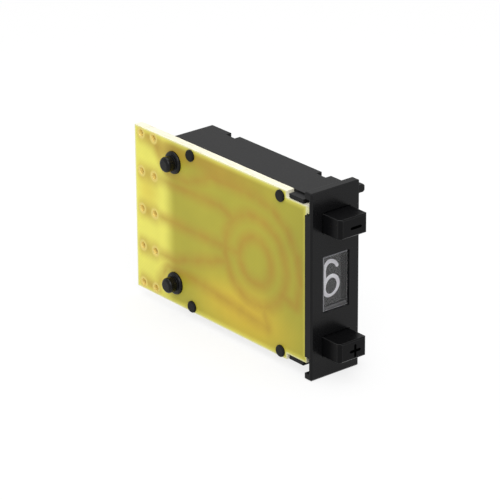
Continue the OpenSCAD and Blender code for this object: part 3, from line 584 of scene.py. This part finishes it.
def clear_acrylic(colours):
    """Clear acrylic window: bends and passes the light, so that the dial looks nearer than it is, with a
    painted grey reflection on the bevels, paler on the lower one, and a haze of fine wiping marks. The
    bevels are where the normal looks neither along Y nor square to it, and the lower one is where it looks
    down."""
    mark_mm, haze = 0.8, 0.04
    material, tree = new_finish("Clear acrylic, polished")
    place = add(tree, "ShaderNodeTexCoord").outputs["Object"]
    marks = add(tree, "ShaderNodeTexNoise", {"Vector": place, "Scale": per_metre(mark_mm), "Detail": 4.0})
    rough = add(tree, "ShaderNodeMapRange", {"Value": marks.outputs["Fac"], "To Max": haze})
    normal = add(tree, "ShaderNodeSeparateXYZ",
                 {"Vector": add(tree, "ShaderNodeNewGeometry").outputs["Normal"]})
    ahead = add(tree, "ShaderNodeMath", {0: normal.outputs["Y"]}, operation="ABSOLUTE")
    turned = add(tree, "ShaderNodeMapRange", {"Value": ahead.outputs[0], "From Min": 0.97, "From Max": 0.8})
    slanted = add(tree, "ShaderNodeMath", {0: ahead.outputs[0], 1: 0.3}, operation="GREATER_THAN")
    edge = add(tree, "ShaderNodeMath",
               {0: turned.outputs["Result"], 1: slanted.outputs[0]}, operation="MULTIPLY").outputs[0]
    # Painted reflection on the bevels, paler where the lower bevel faces down
    under = add(tree, "ShaderNodeMapRange",
                {"Value": normal.outputs["Z"], "From Min": -0.2, "From Max": -0.6})
    rim = add(tree, "ShaderNodeMix",
              {"Factor": under.outputs["Result"], "A": opaque(colours.bevel),
               "B": opaque(colours.lower_bevel)}, data_type="RGBA")
    tint = add(tree, "ShaderNodeMix",
               {"Factor": edge, "A": (1, 1, 1, 1), "B": rim.outputs["Result"]}, data_type="RGBA")
    clear = add(tree, "ShaderNodeMapRange", {"Value": edge, "To Min": 1.0, "To Max": 0.15})
    shader = add(tree, "ShaderNodeBsdfPrincipled",
                 {"Base Color": tint.outputs["Result"], "Roughness": rough.outputs["Result"], "IOR": 1.49,
                  "Specular Tint": (0.65, 0.65, 0.65, 1), "Transmission Weight": clear.outputs["Result"]})
    add(tree, "ShaderNodeOutputMaterial", {"Surface": shader.outputs["BSDF"]})
    return material


def bare_metal(name, colour, grain_mm, roughness):
    """Sheet or wire metal: metallic, with a tarnish that drifts over a millimetre or two and a fine rolled
    grain."""
    tarnish_mm, dullness, grain_height = 1.6, 0.72, 0.01 * MM
    material, tree = new_finish(name)
    place = add(tree, "ShaderNodeTexCoord").outputs["Object"]
    tarnish = add(tree, "ShaderNodeTexNoise",
                  {"Vector": place, "Scale": per_metre(tarnish_mm), "Detail": 4.0})
    grain = add(tree, "ShaderNodeTexNoise", {"Vector": place, "Scale": per_metre(grain_mm), "Detail": 2.0})
    dull = tuple(c * dullness for c in colour)
    tint = add(tree, "ShaderNodeMix",
               {"Factor": tarnish.outputs["Fac"], "A": opaque(dull), "B": opaque(colour)}, data_type="RGBA")
    rough = add(tree, "ShaderNodeMapRange",
                {"Value": grain.outputs["Fac"], "To Min": roughness - 0.08, "To Max": roughness + 0.1})
    bump = add(tree, "ShaderNodeBump",
               {"Strength": 0.1, "Distance": grain_height, "Height": grain.outputs["Fac"]})
    shader = add(tree, "ShaderNodeBsdfPrincipled",
                 {"Base Color": tint.outputs["Result"], "Metallic": 1.0, "Roughness": rough.outputs["Result"],
                  "Normal": bump.outputs["Normal"]})
    add(tree, "ShaderNodeOutputMaterial", {"Surface": shader.outputs["BSDF"]})
    return material


def printed_ink(name, colour, roughness, specular):
    """Screen-printed ink: flat and slightly mottled where the film is thin."""
    mottle_mm, thinness = 0.25, 0.86
    material, tree = new_finish(name)
    place = add(tree, "ShaderNodeTexCoord").outputs["Object"]
    mottle = add(tree, "ShaderNodeTexNoise", {"Vector": place, "Scale": per_metre(mottle_mm), "Detail": 3.0})
    thin = tuple(c * thinness for c in colour)
    tint = add(tree, "ShaderNodeMix",
               {"Factor": mottle.outputs["Fac"], "A": opaque(thin), "B": opaque(colour)}, data_type="RGBA")
    shader = add(tree, "ShaderNodeBsdfPrincipled",
                 {"Base Color": tint.outputs["Result"], "Roughness": roughness,
                  "Specular IOR Level": specular})
    add(tree, "ShaderNodeOutputMaterial", {"Surface": shader.outputs["BSDF"]})
    return material


def dress(finish, *names):
    """Gives CAD nodes a finish in place of the plain one that they came with."""
    for name in names:
        NODES[name].data.materials.clear()
        NODES[name].data.materials.append(finish)


def arc(centre, radii, start, stop, count=28):
    """Points on an ellipse from one angle to another, in degrees: centre plus radii times cosine and sine."""
    angle = np.radians(np.linspace(start, stop, count))
    return np.column_stack([centre[0] + radii[0] * np.cos(angle), centre[1] + radii[1] * np.sin(angle)])


def bar(start, stop, count=8):
    """Points on a straight line from start to stop."""
    return np.linspace(start, stop, count)


def evenly(path, closed, step):
    """Path with its points at even steps along its length, found by interpolation."""
    if closed:
        path = np.vstack([path, path[:1]])
    run = np.concatenate([[0], np.cumsum(np.linalg.norm(np.diff(path, axis=0), axis=1))])
    along = np.linspace(0, run[-1], math.ceil(run[-1] / step) + 1)
    even = np.column_stack([np.interp(along, run, path[:, axis]) for axis in (0, 1)])
    return even[:-1] if closed else even


def digit_strokes(digit, a, b):
    """Centre lines of a plain gothic digit, with half width a and half height b, as paths and whether each is
    closed. Curves are ellipse arcs of height r at the top and bottom; the rest are straight bars."""
    r = 1.2 * a
    low = arc((0, r - b), (a, r), 180, 540, 56)
    top = arc((0, b - r), (a, r), 28, 180)
    upper, lower = 0.47 * b, 0.53 * b
    six = [(np.vstack([top, low[:-1]]), False)]
    strokes = {
        0: [(np.vstack([arc((0, b - r), (a, r), 0, 180), arc((0, r - b), (a, r), 180, 360)]), True)],
        1: [(bar((0.15 * a, -b), (0.15 * a, b)), False), (bar((0.15 * a, b), (-0.7 * a, 0.68 * b)), False)],
        2: [(np.vstack([arc((0, b - r), (a, r), 165, -25), bar((-a, -b), (-a, -b), 1)]), False),
            (bar((-a, -b), (a, -b)), False)],
        3: [(arc((0, b - upper), (0.92 * a, upper), 155, -90), False),
            (arc((0, lower - b), (a, lower), 90, -155), False)],
        4: [(bar((0.35 * a, b), (-a, -0.45 * b)), False), (bar((-a, -0.45 * b), (a, -0.45 * b)), False),
            (bar((0.35 * a, b), (0.35 * a, -b)), False)],
        5: [(bar((0.85 * a, b), (-0.8 * a, b)), False), (bar((-0.8 * a, b), (-0.88 * a, 0.1 * b)), False),
            (arc((0, 0.62 * b - b), (a, 0.62 * b), 145, -150), False)],
        6: six,
        7: [(bar((-a, b), (a, b)), False), (bar((a, b), (-0.3 * a, -b)), False)],
        8: [(arc((0, b - upper), (0.9 * a, upper), 0, 360, 48)[:-1], True),
            (arc((0, lower - b), (a, lower), 0, 360, 48)[:-1], True)],
        9: [(-path, closed) for path, closed in six],
    }
    return strokes[digit]


def tube_faces(rings, sides, closed):
    """Faces of a tube whose points come ring by ring: quads between each ring and the next, and a face over
    each end unless the tube closes on itself."""
    i, j = np.meshgrid(np.arange(rings if closed else rings - 1), np.arange(sides), indexing="ij")
    after, beside = (i + 1) % rings, (j + 1) % sides
    quads = np.stack([i * sides + j, after * sides + j, after * sides + beside, i * sides + beside], axis=-1)
    faces = quads.reshape(-1, 4).tolist()
    if not closed:
        faces += [list(range(sides)), list(range((rings - 1) * sides, rings * sides))]
    return faces


def ink_stroke(path, closed, stroke, film):
    """Film of ink along a path: a low crown, 1 minus v to the fourth across the stroke, carried along the
    path, with half-round ends and its foot sunk under the surface. Returns across, along and height, and the
    faces."""
    cap, crown = 5, 7
    step = np.gradient(path, axis=0)
    if closed:
        step = np.roll(path, -1, axis=0) - np.roll(path, 1, axis=0)
    ahead = step / np.linalg.norm(step, axis=1)[:, None]
    half = np.full(len(path), stroke / 2)
    if not closed:
        turn = np.radians(np.linspace(80, 16, cap))
        run = np.sin(turn)[:, None] * stroke / 2
        path = np.vstack([path[0] - ahead[0] * run, path, path[-1] + ahead[-1] * run[::-1]])
        ahead = np.vstack([np.repeat(ahead[:1], cap, axis=0), ahead, np.repeat(ahead[-1:], cap, axis=0)])
        end = np.cos(turn) * stroke / 2
        half = np.concatenate([end, half, end[::-1]])
    across = np.column_stack([-ahead[:, 1], ahead[:, 0]])
    v = np.concatenate([[-1], np.linspace(-1, 1, crown), [1]])
    height = film * (1 - v ** 4)
    height[[0, -1]] = -film
    flat = path[:, None, :] + across[:, None, :] * (half[:, None] * v)[:, :, None]
    points = np.concatenate([flat, np.broadcast_to(height[None, :, None], (*flat.shape[:2], 1))], axis=2)
    return points.reshape(-1, 3), tube_faces(*points.shape[:2], closed)


def digits_on_drum(dial):
    """Films of the ten digits round the drum: a point's height over the drum's radius is its angle from the
    digit's middle, and the digits stand a tenth of a turn apart."""
    low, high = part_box("number_wheel")
    window_low, window_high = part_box("window_lens")
    middle = (window_low.x + window_high.x) / 2 + dial.aside
    axis = (low.y + high.y) / 2
    radius = (high.z - low.z) / 2
    a, b = (dial.width - dial.stroke) / 2, (dial.height - dial.stroke) / 2
    parts = []
    for digit in range(DIGITS):
        for path, closed in digit_strokes(digit, a, b):
            even = evenly(path, closed, dial.stroke / 3)
            points, faces = ink_stroke(even, closed, dial.stroke, dial.film)
            turn = points[:, 1] / radius + math.radians(360 / DIGITS) * (digit - dial.shown)
            reach = radius + points[:, 2]
            parts.append((np.column_stack(
                [middle + points[:, 0], axis - reach * np.cos(turn), reach * np.sin(turn)]), faces))
    return parts


def window_strip(start, stop, behind, film):
    """Printed strip right across the window's back between two heights, at a distance behind the lens."""
    low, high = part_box("window_lens")
    stroke = stop - start
    half = (high.x - low.x - stroke) / 2
    points, faces = ink_stroke(bar((-half, 0), (half, 0), 24), False, stroke, film)
    return np.column_stack([(low.x + high.x) / 2 + points[:, 0], high.y + behind + points[:, 2],
                            (start + stop) / 2 + points[:, 1]]), faces


def coil_spring(low, high, turns, wire):
    """Round wire carried along a helix that fills a box along Y. The helix has one closed turn at each end
    and even turns between; each ring of points is a circle in the plane of the helix's radius and axis."""
    steps, sides = 24, 12
    turn = np.linspace(0, turns, turns * steps + 1)
    closed = 1.05 * wire
    length = high.y - low.y - wire
    rise = np.interp(turn, (0, 1, turns - 1, turns), (0, closed, length - closed, length))
    angle = 2 * np.pi * turn[:, None]
    section = 2 * np.pi * np.arange(sides)[None, :] / sides
    reach = (high.x - low.x - wire) / 2 + wire / 2 * np.cos(section)
    points = np.stack([(low.x + high.x) / 2 + reach * np.cos(angle),
                       low.y + wire / 2 + rise[:, None] + wire / 2 * np.sin(section),
                       (low.z + high.z) / 2 + reach * np.sin(angle)], axis=-1)
    return points.reshape(-1, 3), tube_faces(len(turn), sides, False)


def make_piece(name, parts, finish, body):
    """One mesh from several lists of points and faces, with outward normals and sharp creases, riding on a
    body."""
    shift = np.cumsum([0] + [len(points) for points, _ in parts])
    points = np.vstack([points for points, _ in parts])
    faces = [[k + s for k in face] for (_, own), s in zip(parts, shift) for face in own]
    mesh = bpy.data.meshes.new(name)
    mesh.from_pydata(points.tolist(), [], faces)
    shell = bmesh.new()
    shell.from_mesh(mesh)
    bmesh.ops.recalc_face_normals(shell, faces=shell.faces)
    shell.to_mesh(mesh)
    shell.free()
    mesh.shade_smooth()
    mesh.set_sharp_from_angle(angle=CREASE)
    mesh.materials.append(finish)
    piece = bpy.data.objects.new(name, mesh)
    bpy.context.scene.collection.objects.link(piece)
    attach(piece, body)
    return piece


class SWITCH_OT_case(bpy.types.Operator):
    """Finishes the moulded case and the studs that couple it to its neighbour."""

    bl_idname = "switch.case"
    bl_label = "Case and studs"

    def execute(self, context):
        colours = context.scene.switch_colours
        case = moulded_plastic("Nylon, moulded black, spark-eroded satin", colours.case, grain_mm=0.12,
                               edge_mm=0.07, roughness=0.5, specular=0.16, edge_highlight=0.15, smoother=0.24)
        stud = moulded_plastic("Nylon, moulded black, glossy", colours.stud, grain_mm=0.2, edge_mm=0.12,
                               roughness=0.28, specular=0.18, edge_highlight=0.06)
        dress(case, "housing")
        dress(stud, "coupling_studs")
        return {"FINISHED"}


class SWITCH_OT_board(bpy.types.Operator):
    """Finishes the circuit board and its copper."""

    bl_idname = "switch.board"
    bl_label = "Circuit board"

    def execute(self, context):
        colours = context.scene.switch_colours
        dress(glass_epoxy(colours), "circuit_board")
        copper = bare_metal("Copper, etched and lacquered", colours.copper, grain_mm=0.1, roughness=0.6)
        dress(copper, "contact_tracks")
        return {"FINISHED"}


class SWITCH_OT_dial(bpy.types.Operator):
    """Finishes the number wheel and window, and prints the digits, the window's masks and its sill."""

    bl_idname = "switch.dial"
    bl_label = "Dial"

    def execute(self, context):
        dial = context.scene.switch_dial
        colours = context.scene.switch_colours
        drum = moulded_plastic("Acetal, moulded dark, matt", colours.dial, grain_mm=0.15, edge_mm=0.05,
                               roughness=0.6, specular=0.08, edge_highlight=0.04)
        dress(drum, "number_wheel")
        dress(clear_acrylic(colours), "window_lens")
        white = printed_ink("Screen ink, white", colours.ink, roughness=0.55, specular=0.1)
        make_piece("dial_digits", digits_on_drum(dial), white, "wheel")
        black = printed_ink("Screen ink, black", colours.dial, roughness=0.7, specular=0.1)
        grey = printed_ink("Screen ink, grey", colours.sill, roughness=0.7, specular=0.1)
        low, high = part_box("window_lens")
        clear = dial.clear_height / 2
        mask_gap, sill_gap = 4 * dial.film, 1.5 * dial.film
        masks = [window_strip(clear, high.z, mask_gap, dial.film),
                 window_strip(low.z, -clear, mask_gap, dial.film)]
        make_piece("window_mask", masks, black, "case")
        sill = window_strip(low.z, -clear - dial.sill_drop, sill_gap, dial.film)
        make_piece("window_sill", [sill], grey, "case")
        return {"FINISHED"}


class SWITCH_OT_keys(bpy.types.Operator):
    """Finishes the two keys and marks them with a minus and a plus."""

    bl_idname = "switch.keys"
    bl_label = "Keys"

    def execute(self, context):
        dial = context.scene.switch_dial
        colours = context.scene.switch_colours
        key = moulded_plastic("ABS, moulded black, smooth", colours.key, grain_mm=0.2, edge_mm=0.14,
                              roughness=0.3, specular=0.08, edge_highlight=0.7)
        dress(key, "minus_button", "plus_button")
        # The signs are a black film of painted shade, for the dark inside the engraved grooves
        groove_shade = printed_ink("Engraved line, painted shade", colours.sign, roughness=0.9, specular=0.0)
        window_low, window_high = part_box("window_lens")
        across = (window_low.x + window_high.x) / 2 + dial.sign_aside
        half = dial.sign_length / 2
        level = bar((-half, 0), (half, 0), 12)
        upright = bar((0, -half), (0, half), 12)
        for node, body, name, bars in (("minus_button", "minus_key", "minus_sign", [level]),
                                       ("plus_button", "plus_key", "plus_sign", [level, upright])):
            low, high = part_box(node)
            middle = math.copysign(dial.key_height, low.z + high.z) - dial.sign_below
            parts = []
            for path in bars:
                points, faces = ink_stroke(path, False, dial.sign_stroke, dial.film)
                parts.append((np.column_stack(
                    [across + points[:, 0], low.y - points[:, 2], middle + points[:, 1]]), faces))
            make_piece(name, parts, groove_shade, body)
        return {"FINISHED"}


class SWITCH_OT_works(bpy.types.Operator):
    """Finishes the works inside the case: star wheel, wiper, pawls and detent."""

    bl_idname = "switch.works"
    bl_label = "Works"

    def execute(self, context):
        colours = context.scene.switch_colours
        acetal = moulded_plastic("Acetal, moulded natural", colours.acetal, grain_mm=0.15, edge_mm=0.06,
                                 roughness=0.45, specular=0.4, edge_highlight=0.0)
        bronze = bare_metal("Phosphor bronze, stamped", colours.bronze, grain_mm=0.08, roughness=0.32)
        strip = bare_metal("Spring steel, rolled strip", colours.strip, grain_mm=0.06, roughness=0.3)
        dress(acetal, "star_wheel")
        dress(bronze, "wiper")
        dress(strip, "detent_spring", "minus_pawl", "plus_pawl")
        return {"FINISHED"}


class SWITCH_OT_springs(bpy.types.Operator):
    """Winds the two return springs as coils that stand still on the case, in place of the plain spring nodes,
    which it hides.
    """

    bl_idname = "switch.springs"
    bl_label = "Return springs"

    def execute(self, context):
        spring = context.scene.switch_spring
        wire = context.scene.switch_colours.wire
        drawn = bare_metal("Spring steel, bright drawn wire", wire, grain_mm=0.05, roughness=0.25)
        for node, joint, name in (("minus_return_spring", "minus_press", "minus_coil"),
                                  ("plus_return_spring", "plus_press", "plus_coil")):
            dress(drawn, node)
            low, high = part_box(node)
            helix = coil_spring(low, high, spring.turns, spring.wire)
            coil = make_piece(name, [helix], drawn, "case")
            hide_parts(node)
            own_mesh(coil)
        return {"FINISHED"}


class SWITCH_OT_stage(bpy.types.Operator):
    """Sets the studio: pale floor, white surround, soft lamps and the camera."""

    bl_idname = "switch.stage"
    bl_label = "Studio"

    def execute(self, context):
        scene = context.scene
        light = scene.switch_stage
        scene.view_settings.view_transform = "Standard"
        world = bpy.data.worlds.new("White surround")
        world.use_nodes = True
        tree = world.node_tree
        tree.nodes.clear()
        seen = seen_directly(tree)
        sky = add(tree, "ShaderNodeBackground", {"Color": (1, 1, 1, 1), "Strength": light.sky})
        white = add(tree, "ShaderNodeBackground", {"Color": (1, 1, 1, 1), "Strength": 1.0})
        both = add(tree, "ShaderNodeMixShader", {0: seen, 1: sky.outputs[0], 2: white.outputs[0]})
        add(tree, "ShaderNodeOutputWorld", {"Surface": both.outputs[0]})
        scene.world = world
        lay_floor()
        hang_lamp("Key softbox", *KEY_LAMP, light.key)
        hang_lamp("Top softbox", *TOP_LAMP, light.top)
        scene.camera = photo_camera()
        return {"FINISHED"}


def seen_directly(tree):
    """1 for camera, glossy and transmitted rays and 0 for the rest."""
    ray = add(tree, "ShaderNodeLightPath")
    first = add(tree, "ShaderNodeMath",
                {0: ray.outputs["Is Camera Ray"], 1: ray.outputs["Is Glossy Ray"]}, operation="MAXIMUM")
    return add(tree, "ShaderNodeMath",
               {0: first.outputs[0], 1: ray.outputs["Is Transmission Ray"]}, operation="MAXIMUM").outputs[0]


def lay_floor():
    """Square floor just under the part, white to the eye but keeping a soft shadow."""
    half, drop, glow_share, paper_white = 1.5, 0.02 * MM, 0.8, 0.92
    corner = np.array([[-half, -half], [half, -half], [half, half], [-half, half]])
    height = np.full((4, 1), CAD_BOX[0].z - drop)
    mesh = bpy.data.meshes.new("floor")
    mesh.from_pydata(np.hstack([corner, height]).tolist(), [], [[0, 1, 2, 3]])
    material, tree = new_finish("Paper sweep, white")
    share = add(tree, "ShaderNodeMath", {0: seen_directly(tree), 1: glow_share}, operation="MULTIPLY")
    paper = add(tree, "ShaderNodeBsdfDiffuse", {"Color": opaque([paper_white] * 3)})
    glow = add(tree, "ShaderNodeEmission", {"Color": (1, 1, 1, 1), "Strength": 1.0})
    both = add(tree, "ShaderNodeMixShader", {0: share.outputs[0], 1: paper.outputs[0], 2: glow.outputs[0]})
    add(tree, "ShaderNodeOutputMaterial", {"Surface": both.outputs[0]})
    mesh.materials.append(material)
    floor = bpy.data.objects.new("floor", mesh)
    bpy.context.scene.collection.objects.link(floor)


def hang_lamp(name, place, size, power):
    """Square soft lamp at a place, facing the middle of the part."""
    lamp = bpy.data.lights.new(name, "AREA")
    lamp.size = size
    lamp.energy = power
    holder = bpy.data.objects.new(name, lamp)
    middle = (CAD_BOX[0] + CAD_BOX[1]) / 2
    holder.location = place
    holder.rotation_euler = (middle - holder.location).to_track_quat("-Z", "Y").to_euler()
    bpy.context.scene.collection.objects.link(holder)


def photo_camera():
    """Camera of the photograph: axes from azimuth, elevation and roll, columns right, up and back."""
    az, el, roll = (math.radians(v) for v in (CAMERA_AZIMUTH, CAMERA_ELEVATION, CAMERA_ROLL))
    back = np.array([math.sin(az) * math.cos(el), -math.cos(az) * math.cos(el), math.sin(el)])
    level = np.cross((0, 0, 1), back)
    level /= np.linalg.norm(level)
    rise = np.cross(back, level)
    right = level * math.cos(roll) + rise * math.sin(roll)
    up = rise * math.cos(roll) - level * math.sin(roll)
    turn = np.eye(4)
    turn[:3, :3] = np.column_stack([right, up, back])
    turn[:3, 3] = CAMERA_PLACE
    data = bpy.data.cameras.new("Photograph")
    data.sensor_fit = "HORIZONTAL"
    data.sensor_width = FILM_WIDTH
    data.lens = CAMERA_LENS
    data.clip_start = 0.01
    camera = bpy.data.objects.new("Photograph", data)
    camera.matrix_world = Matrix(turn.tolist())
    bpy.context.scene.collection.objects.link(camera)
    return camera


OPERATORS = (SWITCH_OT_case, SWITCH_OT_board, SWITCH_OT_dial, SWITCH_OT_keys, SWITCH_OT_works,
             SWITCH_OT_springs, SWITCH_OT_stage)


class SWITCH_PT_panel(bpy.types.Panel):
    """Lists the switch's pieces, sizes and colours."""

    bl_idname = "SWITCH_PT_panel"
    bl_label = "Thumbwheel switch"
    bl_space_type = "VIEW_3D"
    bl_region_type = "UI"
    bl_category = "Switch"

    def draw(self, context):
        for operator in OPERATORS:
            self.layout.operator(operator.bl_idname)
        scene = context.scene
        for group in (scene.switch_dial, scene.switch_spring, scene.switch_colours, scene.switch_stage):
            for name in group.__annotations__:
                self.layout.prop(group, name)


CLASSES = (DialSettings, SpringSettings, ColourSettings, StageSettings, *OPERATORS, SWITCH_PT_panel)


def register():
    """Adds the classes and hangs the settings on the scene."""
    for item in CLASSES:
        bpy.utils.register_class(item)
    bpy.types.Scene.switch_dial = bpy.props.PointerProperty(type=DialSettings)
    bpy.types.Scene.switch_spring = bpy.props.PointerProperty(type=SpringSettings)
    bpy.types.Scene.switch_colours = bpy.props.PointerProperty(type=ColourSettings)
    bpy.types.Scene.switch_stage = bpy.props.PointerProperty(type=StageSettings)


def unregister():
    """Takes the settings and the classes away again."""
    del bpy.types.Scene.switch_stage
    del bpy.types.Scene.switch_colours
    del bpy.types.Scene.switch_spring
    del bpy.types.Scene.switch_dial
    for item in reversed(CLASSES):
        bpy.utils.unregister_class(item)


def main():
    """Registers the add-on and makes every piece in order."""
    register()
    bpy.ops.switch.case()
    bpy.ops.switch.board()
    bpy.ops.switch.dial()
    bpy.ops.switch.keys()
    bpy.ops.switch.works()
    bpy.ops.switch.springs()
    bpy.ops.switch.stage()


if __name__ == "__main__":
    main()
